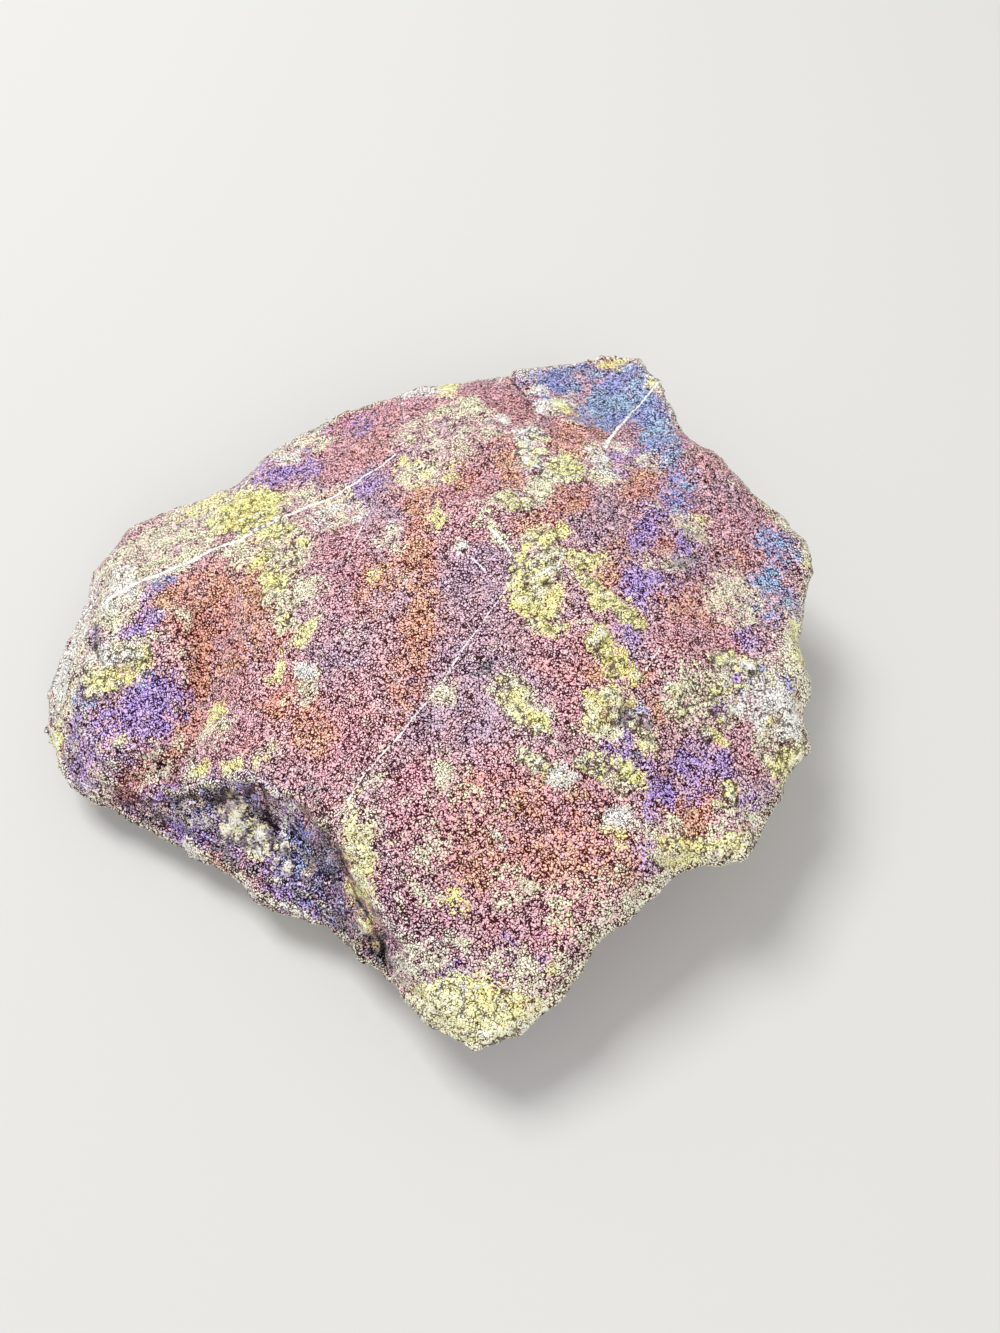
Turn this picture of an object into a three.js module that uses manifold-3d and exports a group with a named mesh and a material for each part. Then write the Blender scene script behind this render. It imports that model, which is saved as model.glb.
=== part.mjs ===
// Peacock ore: one natural stone of tarnished copper-iron sulphide, lying on a small flat spot.
// Millimetres, +Z up. The stone stands on z = 0 with the middle of its box over the origin,
// and the near tip of the stone points towards -Y.
import * as THREE from "three";
import { mergeVertices } from "three/addons/utils/BufferGeometryUtils.js";
import { ImprovedNoise } from "three/addons/math/ImprovedNoise.js";
import Module from "manifold-3d";

// The rim is the stone's widest line, where the upper face meets the undercut side. It runs
// anticlockwise seen from above: x, y, height, slope of the shoulder above it and of the wall
// below it, both in degrees from level.
const RIM = [
  [26.7, 6.5, 9.0, 55, 62],
  [25.0, 9.7, 9.0, 50, 58],
  [21.8, 13.9, 9.8, 45, 52],
  [18.6, 18.0, 9.8, 40, 50],
  [17.7, 23.4, 9.2, 40, 54],
  [16.2, 26.5, 9.0, 45, 60],
  [13.0, 26.9, 9.0, 45, 62],
  [9.1, 25.1, 9.2, 40, 60],
  [5.8, 23.6, 9.5, 35, 55],
  [0.0, 22.9, 9.4, 35, 52],
  [-4.6, 21.3, 9.2, 35, 50],
  [-8.3, 19.5, 8.8, 38, 52],
  [-11.8, 17.5, 8.3, 42, 55],
  [-14.5, 14.1, 7.7, 45, 55],
  [-18.4, 12.6, 7.1, 45, 52],
  [-22.5, 11.1, 6.1, 48, 48],
  [-24.4, 8.2, 5.1, 50, 45],
  [-25.8, 4.2, 3.8, 52, 42],
  [-26.7, -1.0, 3.2, 52, 40],
  [-26.5, -4.4, 3.0, 50, 38],
  [-25.1, -7.5, 2.8, 50, 36],
  [-21.0, -10.2, 2.5, 56, 34],
  [-15.8, -13.0, 2.4, 62, 34],
  [-10.2, -16.6, 2.6, 64, 36],
  [-4.6, -19.3, 3.0, 66, 40],
  [-2.4, -21.2, 3.4, 66, 42],
  [0.4, -24.6, 4.3, 62, 45],
  [3.7, -26.8, 5.0, 52, 50],
  [6.6, -25.6, 5.4, 50, 52],
  [9.4, -23.4, 6.4, 50, 55],
  [11.4, -19.9, 7.5, 50, 58],
  [15.0, -17.4, 8.2, 50, 60],
  [20.0, -15.8, 7.8, 50, 60],
  [22.6, -11.2, 7.8, 52, 62],
  [24.8, -8.6, 8.2, 52, 62],
  [24.8, -1.5, 9.4, 52, 60],
  [26.0, 2.8, 9.0, 55, 62],
];
// The rim wanders in and out in waves of two lengths, and up and down in waves of a third.
const RIM_WAVES = [
  { length: 2.2, reach: 0.45, seed: 4.7 },
  { length: 5.0, reach: 0.45, seed: 9.1 },
];
const RIM_RISE = { length: 2.6, reach: 0.27, seed: 21.3 };

// The mesh is an eight-sided ball with its waist on the rim, pulled out to the rim and flattened
// into the upper face and the underside.
const RINGS = 32; // rings of cells on each of the two sides
const UPPER_CROWDING = 1.1; // over 1, the rings lie closer together near the rim
const LOWER_CROWDING = 1.3;
const MIDDLE = [1.0, 1.0]; // the point that the rings are spread from

// Fracture faces of the upper side, each through a point, falling towards a compass angle
// (degrees from +X towards +Y) at a slope in degrees.
const UPPER_FACETS = [
  { at: [4.0, -4.0, 12.9], towards: -85, slope: 4 }, // broad main face
  { at: [8.0, 7.5, 13.5], towards: 76, slope: 13 }, // far face
  { at: [16.0, 2.0, 12.7], towards: 8, slope: 17 }, // right face
  { at: [3.0, -12.5, 12.1], towards: -88, slope: 25 }, // face running down to the near tip
  { at: [13.5, -10.0, 11.9], towards: -42, slope: 24 }, // near right face
  { at: [-8.5, -10.0, 9.7], towards: 205, slope: 26 }, // tongue that runs down to the trough
  { at: [-3.9, -13.6, 11.2], towards: 238, slope: 34 }, // face between the main face and the scoops
];
const FAR_LEFT_FACET = { at: [-10.0, 10.4, 9.9], towards: 146, slope: 15 }; // past the pale vein
const FACET_BLEND = 1.0; // height over which two faces that meet are rounded
const SHOULDER_BLEND = 0.5; // the same where the shoulder meets the upper face

// The left lobe is a low hump on the far side of the trough.
const LOBE_FACET = { at: [-17.5, -3.0, 8.7], towards: 235, slope: 22 };

// A trough curls round between the tongue and the lobe and runs out above the scoops.
const TROUGH = [
  [-16.0, 5.2],
  [-14.4, 2.0],
  [-14.0, -2.1],
  [-14.4, -4.8],
  [-15.6, -7.6],
  [-17.6, -9.4],
  [-20.5, -11.2],
];
const TROUGH_DEPTH = 1.2;
const TROUGH_WIDTH = 2.0;
const TROUGH_FADE = 0.22; // share of its length over which the trough deepens from nothing
const TROUGH_STEEPNESS = 1.5; // of its two sides
const TROUGH_STEPS = 40; // steps in which its curve is followed

// Low lumps and dips of the upper face: x, y, radius, height.
const LUMPS = [
  [7.6, 1.4, 2.8, 0.4], // nodular crust
  [5.8, -2.2, 2.0, 0.3],
  [10.6, -2.6, 2.0, 0.35], // chain of nodules below it
  [11.8, -7.8, 2.0, 0.4],
  [8.2, 10.6, 3.0, 0.45],
  [14.1, -11.0, 1.5, 0.35],
  [18.8, -13.3, 1.4, 0.4], // bright nugget by the near right rim
  [-12.0, 8.6, 3.2, 0.55], // swelling on the vein
  [-9.5, -9.6, 3.0, 0.7], // end of the tongue over the scoops
  [-3.4, -15.0, 2.2, 0.5], // crest beside the scoops
  [2.2, -9.2, 5.0, -0.35], // shallow dish in the main face
  [13.5, 19.5, 5.2, -0.7], // the blue cap lies lower than the main face
  [18.5, -3.0, 3.5, -0.4],
  [-21.5, 3.0, 2.6, 0.5],
];
const LUMP_STEEPNESS = 1.6;

// Shell-shaped scoops broken out of the stone: centre, radii, turn about Z in degrees. The first
// three make the dark hollow of the near left side, and the others are low on the hidden sides.
const SCOOPS = [
  { centre: [-14.6, -16.2, 9.5], radii: [9.6, 5.6, 6.6], turn: -4 },
  { centre: [-7.6, -19.6, 9.6], radii: [8.6, 4.9, 6.4], turn: -52 },
  { centre: [-3.2, -23.2, 7.4], radii: [4.4, 2.5, 4.0], turn: -50 },
  { centre: [27.0, -3.0, 2.6], radii: [5.6, 7.5, 3.9], turn: 8 },
  { centre: [4.0, 26.0, 2.4], radii: [8.5, 7.6, 4.6], turn: -10 },
];
const SCOOP_SEGMENTS = [28, 18];
const SCOOP_RIPPLE = { length: 2.4, height: 0.35 };

// Fracture faces of the underside. Each rises from the small flat spot in the middle.
const LOWER_FACETS = [
  { at: [9.5, 0.5, 0.0], towards: 185, slope: 17 },
  { at: [7.0, 7.0, 0.0], towards: 235, slope: 19 },
  { at: [-1.5, 8.5, 0.0], towards: 282, slope: 20 },
  { at: [-6.5, 2.0, 0.0], towards: 348, slope: 8 },
  { at: [-4.0, -6.0, 0.0], towards: 52, slope: 10 },
  { at: [3.5, -8.0, 0.0], towards: 95, slope: 15 },
  { at: [8.0, -5.5, 0.0], towards: 140, slope: 18 },
];
const LOWER_BLEND = 0.8;
const FAR_BELOW = -20; // lower than any of these faces

// Broken ledges that step the undercut wall: compass angle, how wide, how deep, at what height.
const LEDGES = [
  { bearing: 28, spread: 26, depth: 1.3, height: 5.6 },
  { bearing: 78, spread: 24, depth: 1.5, height: 4.8 },
  { bearing: 125, spread: 22, depth: 1.2, height: 5.4 },
  { bearing: -32, spread: 24, depth: 1.3, height: 4.4 },
];
const LEDGE_SOFTNESS = 2.8; // height over which a ledge turns from wall to ceiling
const LEDGE_STEEPNESS = 2; // of its two ends

// Roughness of the break, as size of the lumps and their height.
const ROUGHNESS = [
  { size: 8.5, height: 0.55 },
  { size: 4.2, height: 0.3 },
];
const LAYER_SHIFT = 17.3; // keeps one layer of roughness from repeating another
const UNDERSIDE_ROUGHER = 1.5; // the underside broke more roughly than the upper face
const UNDERSIDE_SEED = 31;
const UNDERSIDE_CALM = 2; // distance in from the rim over which that roughness grows

const STONE = { colour: 0xb08794, roughness: 0.55, metalness: 0.35 };

const noise = new ImprovedNoise();
const degrees = THREE.MathUtils.degToRad;
const clamp = THREE.MathUtils.clamp;

// Roughness of the break at a point, as a height.
function roughAt(x, y, z) {
  let height = 0;
  ROUGHNESS.forEach((layer, index) => {
    const shift = LAYER_SHIFT * (index + 1);
    height += layer.height * noise.noise(x / layer.size + shift, y / layer.size, z / layer.size);
  });
  return height;
}

function facetHeight(facet, x, y) {
  const angle = degrees(facet.towards);
  const along = (x - facet.at[0]) * Math.cos(angle) + (y - facet.at[1]) * Math.sin(angle);
  return facet.at[2] - along * Math.tan(degrees(facet.slope));
}

// The lower of two heights, with the corner between them rounded.
function softLower(a, b, blend) {
  const share = clamp(0.5 + (0.5 * (b - a)) / blend, 0, 1);
  return b + (a - b) * share - blend * share * (1 - share);
}

function softHigher(a, b, blend) {
  return -softLower(-a, -b, blend);
}

// How far a wave of the rim has moved it at a place.
function waveAt({ length, reach, seed }, x, y) {
  return reach * noise.noise(x / length, y / length, seed);
}

const FULL_TURN = 2 * Math.PI;
const rimBearings = RIM.map(([x, y]) => Math.atan2(y - MIDDLE[1], x - MIDDLE[0]));
const rimTurns = rimBearings.map((bearing) =>
  THREE.MathUtils.euclideanModulo(bearing - rimBearings[0], FULL_TURN),
);
rimTurns.push(FULL_TURN);

// The rim in a direction from the middle: place, height and the two slopes.
function rimAt(bearing) {
  const turn = THREE.MathUtils.euclideanModulo(bearing - rimBearings[0], FULL_TURN);
  const index = Math.min(rimTurns.findLastIndex((start) => start <= turn), RIM.length - 1);
  const share = (turn - rimTurns[index]) / (rimTurns[index + 1] - rimTurns[index]);
  const from = RIM[index];
  const to = RIM[(index + 1) % RIM.length];
  const [x, y, z, shoulder, wall] = from.map((value, k) => value + (to[k] - value) * share);
  const ragged = RIM_WAVES.reduce((sum, wave) => sum + waveAt(wave, x, y), 0);
  return {
    x: x + ragged * Math.cos(bearing),
    y: y + ragged * Math.sin(bearing),
    z: z + waveAt(RIM_RISE, x, y),
    shoulder: Math.tan(degrees(shoulder)),
    wall: Math.tan(degrees(wall)),
  };
}

const troughPoints = new THREE.CatmullRomCurve3(
  TROUGH.map(([x, y]) => new THREE.Vector3(x, y, 0)),
).getPoints(TROUGH_STEPS);

// The nearest place on the trough: how far, on which side (1 is the lobe's), and how far along.
function fromTrough(x, y) {
  const last = troughPoints.length - 1;
  let nearest = 0;
  let distance = Infinity;
  troughPoints.forEach((point, index) => {
    const far = Math.hypot(x - point.x, y - point.y);
    if (far < distance) {
      distance = far;
      nearest = index;
    }
  });
  const before = troughPoints[Math.max(nearest - 1, 0)];
  const after = troughPoints[Math.min(nearest + 1, last)];
  const cross = (after.x - before.x) * (y - before.y) - (after.y - before.y) * (x - before.x);
  return { distance, side: cross < 0 ? 1 : -1, share: nearest / last };
}

function lumpHeight(x, y) {
  return LUMPS.reduce((sum, [cx, cy, radius, height]) => {
    const far = Math.hypot(x - cx, y - cy) / radius;
    return sum + height * Math.exp(-LUMP_STEEPNESS * far * far);
  }, 0);
}

// Height of the upper face, before the shoulder brings it down to the rim.
function upperHeight(x, y) {
  const farLeft = facetHeight(FAR_LEFT_FACET, x, y);
  const body = UPPER_FACETS.reduce(
    (height, facet) => softLower(height, facetHeight(facet, x, y), FACET_BLEND),
    farLeft,
  );
  const lobe = softLower(farLeft, facetHeight(LOBE_FACET, x, y), FACET_BLEND);
  const { distance, side, share } = fromTrough(x, y);
  const onLobe = THREE.MathUtils.smoothstep(side * distance, -TROUGH_WIDTH / 2, TROUGH_WIDTH / 2);
  const deepness = Math.min(1, share / TROUGH_FADE);
  const away = distance / TROUGH_WIDTH;
  const groove = TROUGH_DEPTH * deepness * Math.exp(-TROUGH_STEEPNESS * away * away);
  const height = THREE.MathUtils.lerp(body, lobe, onLobe) - groove;
  return height + lumpHeight(x, y) + roughAt(x, y, 0);
}

// How far a ledge pushes the wall in at a place, given its height.
function ledgeStep(x, y, z) {
  const bearing = THREE.MathUtils.radToDeg(Math.atan2(y, x));
  return LEDGES.reduce((sum, ledge) => {
    const off = (bearing - ledge.bearing) / ledge.spread;
    const below = clamp((ledge.height - z) / LEDGE_SOFTNESS + 0.5, 0, 1);
    return sum + ledge.depth * Math.exp(-LEDGE_STEEPNESS * off * off) * below;
  }, 0);
}

// Height of the underside, from the wall under the rim to the flat spot.
function lowerHeight(x, y, rim, inward) {
  const belly = LOWER_FACETS.reduce(
    (height, facet) => softHigher(height, facetHeight(facet, x, y), LOWER_BLEND),
    FAR_BELOW,
  );
  const straight = rim.z - rim.wall * inward;
  const stepped = rim.z - rim.wall * Math.max(inward - ledgeStep(x, y, straight), 0);
  const grown = UNDERSIDE_ROUGHER * Math.min(1, inward / UNDERSIDE_CALM);
  const rough = grown * roughAt(x, y, UNDERSIDE_SEED);
  return Math.max(0, softHigher(belly, stepped, LOWER_BLEND) + rough);
}

// The compass angle of a point of the ball. Even steps along its edges become even angles.
function evenBearing(x, y) {
  const around = Math.abs(x) + Math.abs(y);
  const fromAxis = around < 1e-6 ? 0 : (FULL_TURN / 4) * (Math.abs(y) / around);
  const turned = x < 0 ? FULL_TURN / 2 - fromAxis : fromAxis;
  return y < 0 ? -turned : turned;
}

// The place on the stone of a point of the eight-sided ball.
function place(x, y, z) {
  const out = (Math.abs(x) + Math.abs(y)) / (Math.abs(x) + Math.abs(y) + Math.abs(z));
  const rim = rimAt(evenBearing(x, y));
  const above = z > 0;
  const share = 1 - (1 - out) ** (above ? UPPER_CROWDING : LOWER_CROWDING);
  const px = MIDDLE[0] + (rim.x - MIDDLE[0]) * share;
  const py = MIDDLE[1] + (rim.y - MIDDLE[1]) * share;
  const inward = (1 - share) * Math.hypot(rim.x - MIDDLE[0], rim.y - MIDDLE[1]);
  if (out > 1 - 1e-6) return [px, py, rim.z];
  if (!above) return [px, py, lowerHeight(px, py, rim, inward)];
  return [px, py, softLower(rim.z + rim.shoulder * inward, upperHeight(px, py), SHOULDER_BLEND)];
}

// A closed geometry with its vertices joined, and no normals or texture places.
function joined(geometry) {
  geometry.deleteAttribute("normal");
  geometry.deleteAttribute("uv");
  return mergeVertices(geometry, 1e-4);
}

function stoneBlank() {
  const blank = joined(new THREE.OctahedronGeometry(1, RINGS - 1));
  const position = blank.attributes.position;
  for (let i = 0; i < position.count; i++)
    position.setXYZ(i, ...place(position.getX(i), position.getY(i), position.getZ(i)));
  return blank;
}

// A rippled egg shape, which leaves a shell-shaped hollow where it is cut away.
function scoop({ centre, radii, turn }) {
  const egg = joined(new THREE.SphereGeometry(1, ...SCOOP_SEGMENTS).rotateX(Math.PI / 2));
  egg.scale(...radii);
  egg.rotateZ(degrees(turn));
  egg.translate(...centre);
  const position = egg.attributes.position;
  const point = new THREE.Vector3();
  const middle = new THREE.Vector3(...centre);
  for (let i = 0; i < position.count; i++) {
    point.fromBufferAttribute(position, i);
    const wave = point.clone().divideScalar(SCOOP_RIPPLE.length);
    const outward = point.clone().sub(middle).normalize();
    point.addScaledVector(outward, SCOOP_RIPPLE.height * noise.noise(wave.x, wave.y, wave.z));
    position.setXYZ(i, point.x, point.y, point.z);
  }
  return egg;
}

const wasm = await Module();
wasm.setup();

function solidOf(geometry) {
  const mesh = new wasm.Mesh({
    numProp: 3,
    vertProperties: new Float32Array(geometry.attributes.position.array),
    triVerts: new Uint32Array(geometry.index.array),
  });
  return new wasm.Manifold(mesh);
}

function geometryOf(solid) {
  const mesh = solid.getMesh();
  return new THREE.BufferGeometry()
    .setAttribute("position", new THREE.BufferAttribute(mesh.vertProperties, mesh.numProp))
    .setIndex(new THREE.BufferAttribute(mesh.triVerts, 1));
}

function makeStone() {
  let solid = solidOf(stoneBlank());
  SCOOPS.forEach((shape) => {
    solid = solid.subtract(solidOf(scoop(shape)));
  });
  const geometry = geometryOf(solid);
  geometry.computeVertexNormals();
  const material = new THREE.MeshStandardMaterial({
    color: STONE.colour,
    roughness: STONE.roughness,
    metalness: STONE.metalness,
    flatShading: true,
  });
  const stone = new THREE.Mesh(geometry, material);
  stone.name = "ore_stone";
  return stone;
}

const group = new THREE.Group();
group.add(makeStone());

export default group;
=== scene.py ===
import math
from statistics import NormalDist

import bpy
import numpy as np
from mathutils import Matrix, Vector, noise


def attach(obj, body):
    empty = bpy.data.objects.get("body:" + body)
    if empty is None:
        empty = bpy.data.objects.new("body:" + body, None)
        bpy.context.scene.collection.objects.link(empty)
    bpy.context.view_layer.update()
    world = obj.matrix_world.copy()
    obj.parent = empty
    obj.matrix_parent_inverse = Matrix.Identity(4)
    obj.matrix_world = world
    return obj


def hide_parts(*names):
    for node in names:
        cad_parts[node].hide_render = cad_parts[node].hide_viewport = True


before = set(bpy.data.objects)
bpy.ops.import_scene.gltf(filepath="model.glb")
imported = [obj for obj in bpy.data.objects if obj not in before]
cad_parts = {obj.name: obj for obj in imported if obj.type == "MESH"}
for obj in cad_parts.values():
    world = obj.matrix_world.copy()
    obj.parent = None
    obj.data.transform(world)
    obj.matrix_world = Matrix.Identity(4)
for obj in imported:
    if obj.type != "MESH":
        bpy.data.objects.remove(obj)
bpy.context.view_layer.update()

# ------------------------------------------------------------------------------------------------
# The stone: one lump of copper and iron sulphide, broken out of the rock and never cut or polished.
# It starts from the plain solid, gets an even skin of small faces, and loses the facets' edges.
# ------------------------------------------------------------------------------------------------
MM = 0.001
SKIN = 0.25 * MM             # size of one face of the even skin
FACET_WEAR = 10              # rounds of smoothing that take the facets' edges off
SMOOTHING = 0.5              # how far a round draws each point to its neighbours
SWELLING = -0.52             # after each round, brings the stone back to its size
CLEAR_OF_FLOOR = 0.9         # mm above the floor at which the roughness has its full height
FLOOR_STEPS = 20             # steps in which it grows up to there

stone = bpy.data.objects.new("stone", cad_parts["ore_stone"].data.copy())
bpy.context.scene.collection.objects.link(stone)
bpy.ops.object.select_all(action="DESELECT")
stone.select_set(True)
bpy.context.view_layer.objects.active = stone
bpy.ops.object.mode_set(mode="EDIT")
bpy.ops.mesh.select_all(action="SELECT")
bpy.ops.mesh.remove_doubles(threshold=1e-6)
bpy.ops.object.mode_set(mode="OBJECT")


def worked(kind, **settings):
    """Adds one modifier to the stone with these settings and applies it."""
    bpy.ops.object.modifier_add(type=kind)
    modifier = stone.modifiers[-1]
    for name, value in settings.items():
        setattr(modifier, name, value)
    bpy.ops.object.modifier_apply(modifier=modifier.name)


worked("REMESH", mode="VOXEL", voxel_size=SKIN, use_smooth_shade=True)
worked("SMOOTH", factor=SMOOTHING, iterations=1)
for _ in range(FACET_WEAR):
    worked("SMOOTH", factor=SMOOTHING, iterations=1)
    worked("SMOOTH", factor=SWELLING, iterations=1)


def places():
    """The stone's points in millimetres."""
    flat = np.empty(len(stone.data.vertices) * 3)
    stone.data.vertices.foreach_get("co", flat)
    return flat.reshape(-1, 3) / MM


def outward():
    """The stone's outward direction at each point."""
    flat = np.empty(len(stone.data.vertices) * 3)
    stone.data.vertices.foreach_get("normal", flat)
    return flat.reshape(-1, 3)


def eased(value, start, end):
    """0 below start, 1 above end and a soft rise between them."""
    share = np.clip((value - start) / (end - start), 0, 1)
    return share * share * (3 - 2 * share)


off_the_floor = stone.vertex_groups.new(name="off_the_floor")
heights = places()[:, 2]
steps = np.round(eased(heights, 0.02, CLEAR_OF_FLOOR) * FLOOR_STEPS).astype(int)
for step in range(1, FLOOR_STEPS + 1):
    off_the_floor.add(np.flatnonzero(steps == step).tolist(), step / FLOOR_STEPS, "REPLACE")

# Roughness of the break: size of the lumps in mm, how deep it is worked in, height in mm
BREAK = [(3.0, 2, 0.55), (1.1, 3, 0.42)]
for number, (size, depth, height) in enumerate(BREAK):
    lumps = bpy.data.textures.new(f"break_{number}", "CLOUDS")
    lumps.noise_scale = size * MM
    lumps.noise_depth = depth
    lumps.noise_basis = "IMPROVED_PERLIN"
    worked("DISPLACE", texture=lumps, texture_coords="LOCAL", strength=height * MM,
           mid_level=0.5, vertex_group="off_the_floor")

# ------------------------------------------------------------------------------------------------
# The small forms on the broad face: crusts of round yellow nodules, pits, open cracks, the step at
# the edge of the blue corner, and the rock's bedding, which shows as thin ledges in the hollow and
# down the left side. They are part of the stone and are worked into its skin.
# ------------------------------------------------------------------------------------------------
# Crusts: x, y, half length, half width in mm, turn in degrees, number of nodules, their radius and
# height in mm
CRUSTS = [
    (7.2, 1.6, 3.0, 1.5, 75, 26, 0.55, 0.30),
    (7.8, -2.6, 1.0, 0.6, 0, 7, 0.45, 0.30),
    (10.2, 2.4, 1.0, 0.5, -25, 6, 0.45, 0.30),
    (11.0, 0.0, 1.5, 0.5, -50, 8, 0.45, 0.32),
    (13.0, -1.7, 1.0, 0.4, -45, 5, 0.40, 0.25),
    (11.2, -3.9, 0.9, 0.7, 80, 7, 0.45, 0.32),
    (12.0, -5.7, 1.2, 0.4, -75, 7, 0.40, 0.30),
    (11.3, -8.2, 1.2, 1.0, 30, 11, 0.50, 0.32),
    (13.4, -9.6, 1.2, 0.5, -60, 7, 0.40, 0.30),
    (11.3, -12.0, 1.7, 0.9, -15, 10, 0.40, 0.25),
    (6.3, -7.9, 2.0, 0.9, -58, 13, 0.50, 0.25),
    (7.0, -11.6, 1.2, 0.4, -35, 6, 0.35, 0.22),
    (9.4, 11.0, 1.7, 1.5, 40, 14, 0.55, 0.22),
    (7.3, 13.2, 3.0, 1.0, 95, 12, 0.55, 0.16),
    (6.0, 7.4, 1.3, 1.0, 0, 8, 0.50, 0.22),
    (-12.6, 9.6, 2.8, 2.3, 15, 20, 0.60, 0.18),
    (-9.4, 3.6, 4.8, 1.3, 95, 18, 0.55, 0.16),
    (-20.3, -2.7, 2.6, 1.2, 10, 16, 0.50, 0.25),
    (-11.3, -12.6, 1.7, 0.9, -25, 14, 0.50, 0.35),
    (-9.0, -14.2, 1.5, 0.5, -60, 7, 0.40, 0.25),
    (17.0, -15.6, 3.0, 0.6, 12, 8, 0.50, 0.14),
    (18.4, -12.7, 0.8, 0.4, 45, 5, 0.40, 0.35),
    (3.4, -24.4, 3.2, 1.3, -5, 6, 0.70, 0.10),
    (19.5, -5.0, 2.2, 1.5, 0, 14, 0.45, 0.14),
    (22.8, -8.8, 1.8, 1.8, 0, 12, 0.50, 0.11),
    (17.2, -7.6, 2.0, 1.6, 0, 12, 0.45, 0.14),
]
# Single nodules and pits: x, y, radius, height in mm, where a pit's height is below zero
BUMPS = [
    (1.7, -6.9, 0.70, 0.16), (2.4, 3.7, 0.45, 0.30), (8.6, -12.5, 0.45, 0.30),
    (4.9, -15.6, 0.40, 0.28), (1.8, -12.3, 0.60, 0.18), (-19.7, -7.3, 0.45, 0.30),
    (20.6, -4.6, 0.50, 0.30), (13.2, -6.1, 0.45, 0.35), (5.6, -18.4, 0.8, 0.2),
    (4.2, -5.4, 0.40, -0.45), (12.7, -8.5, 0.55, -0.50), (13.5, -8.9, 0.40, -0.40),
    (-2.7, -20.6, 0.90, -0.60), (-21.3, 4.7, 0.50, -0.30), (9.0, -10.2, 0.5, -0.25),
    (25.2, -3.2, 0.60, -0.40), (25.4, -5.6, 0.50, -0.35), (15.2, -12.2, 0.6, -0.2),
]
# The step along the blue corner, and how far behind it the lifted side sinks back
BLUE_STEP = [(5.6, 24.2), (6.5, 22.9), (7.6, 20.3), (8.6, 18.1), (9.5, 16.7), (12.4, 15.6)]
BLUE_STEP_HEIGHT = 0.35      # mm
BLUE_STEP_REACH = 3.0        # mm
# Bedding ledges: the line they follow, how far they reach from it, their spacing and height in mm,
# and how pale their pale streaks are
BEDDING = [
    ([(-21.5, -10.4), (-17.5, -12.6), (-14.2, -14.2), (-11.1, -16.2), (-8.4, -18.0), (-5.0, -19.6),
      (-2.4, -22.4), (0.2, -24.8)], 6.5, 0.95, 0.20, 0.30),
    ([(-26.0, 6.5), (-26.6, 0.5), (-26.3, -4.5), (-24.0, -9.4)], 4.5, 0.75, 0.16, 0.80),
]
BEDDING_WAVE = 0.45          # mm by which the ledges wave to each side
# Open cracks and troughs: the line they follow, their half width and depth in mm
CRACKS = [
    ([(-20.0, -10.1), (-18.6, -10.2), (-15.7, -11.0), (-13.2, -11.3), (-10.9, -11.4), (-9.4, -11.6)],
     0.08, 0.18),
    ([(-9.3, -11.6), (-9.4, -12.2), (-9.6, -12.9)], 0.06, 0.10),
    ([(-5.0, -15.2), (-4.3, -16.1), (-3.9, -17.0), (-3.4, -18.0), (-2.5, -19.4), (-1.6, -20.8)],
     0.06, 0.10),
    ([(5.2, 23.9), (6.1, 22.5), (7.2, 20.1), (8.2, 17.9), (9.1, 16.5)], 0.05, 0.10),
    ([(6.2, 0.1), (7.0, 0.1), (7.9, 0.4), (8.6, 0.4), (8.9, 1.2)], 0.07, 0.12),
    ([(15.0, 2.1), (16.1, 2.4), (17.1, 2.9), (17.5, 2.0), (16.7, 1.2)], 0.07, 0.08),
    ([(-22.2, 0.8), (-22.0, -1.0), (-21.2, -2.2)], 0.10, 0.10),
]
TROUGHS = [
    ([(-14.8, 1.2), (-14.8, -1.8), (-14.5, -4.4), (-14.9, -6.2), (-16.3, -7.7), (-18.0, -8.9),
      (-19.7, -9.7)], 0.30, 0.16),
    ([(-18.8, -10.5), (-15.7, -11.3), (-13.2, -11.6), (-10.9, -11.7), (-9.3, -12.2)], 0.30, 0.0),
    ([(-5.2, -15.0), (-4.3, -16.1), (-4.0, -17.0), (-3.5, -18.0), (-2.6, -19.4), (-1.8, -21.4)],
     0.35, 0.0),
]
CRACK_LIP = 0.25             # mm over which a crack's lip slopes down, besides its half width


def side_of(line, x, y):
    """Distance from a line of points, above zero to the left of its run, and the share run."""
    best = np.full(len(x), 1e9)
    signed = np.zeros(len(x))
    run = np.zeros(len(x))
    for number, ((ax, ay), (bx, by)) in enumerate(zip(line, line[1:])):
        length = math.hypot(bx - ax, by - ay)
        along = ((x - ax) * (bx - ax) + (y - ay) * (by - ay)) / length ** 2
        held = np.clip(along, 0, 1)
        far = np.hypot(x - ax - held * (bx - ax), y - ay - held * (by - ay))
        left = (bx - ax) * (y - ay) - (by - ay) * (x - ax)
        nearer = far < best
        best = np.where(nearer, far, best)
        signed = np.where(nearer, np.copysign(far, left), signed)
        run = np.where(nearer, number + along, run)
    return signed, run / (len(line) - 1)


def near_bedding(off, run, reach):
    """1 along a bedding line, fading to 0 as far out as it reaches and past its ends."""
    near = 1 - eased(np.abs(off), 0.6 * reach, reach)
    return near * (eased(run, -0.05, 0.05) * (1 - eased(run, 0.95, 1.05)))


def wander(points, size, seed):
    """Soft noise between about -1 and 1, with lumps of this size in mm."""
    shift = Vector((seed * 7.3, seed * 3.1, seed * 5.7))
    return np.array([noise.noise(Vector(p) / size + shift) for p in points])


at = places()
out = outward()
x, y, z = at.T
upper = eased(out[:, 2], 0.05, 0.4)
relief = np.zeros(len(at))

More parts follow.
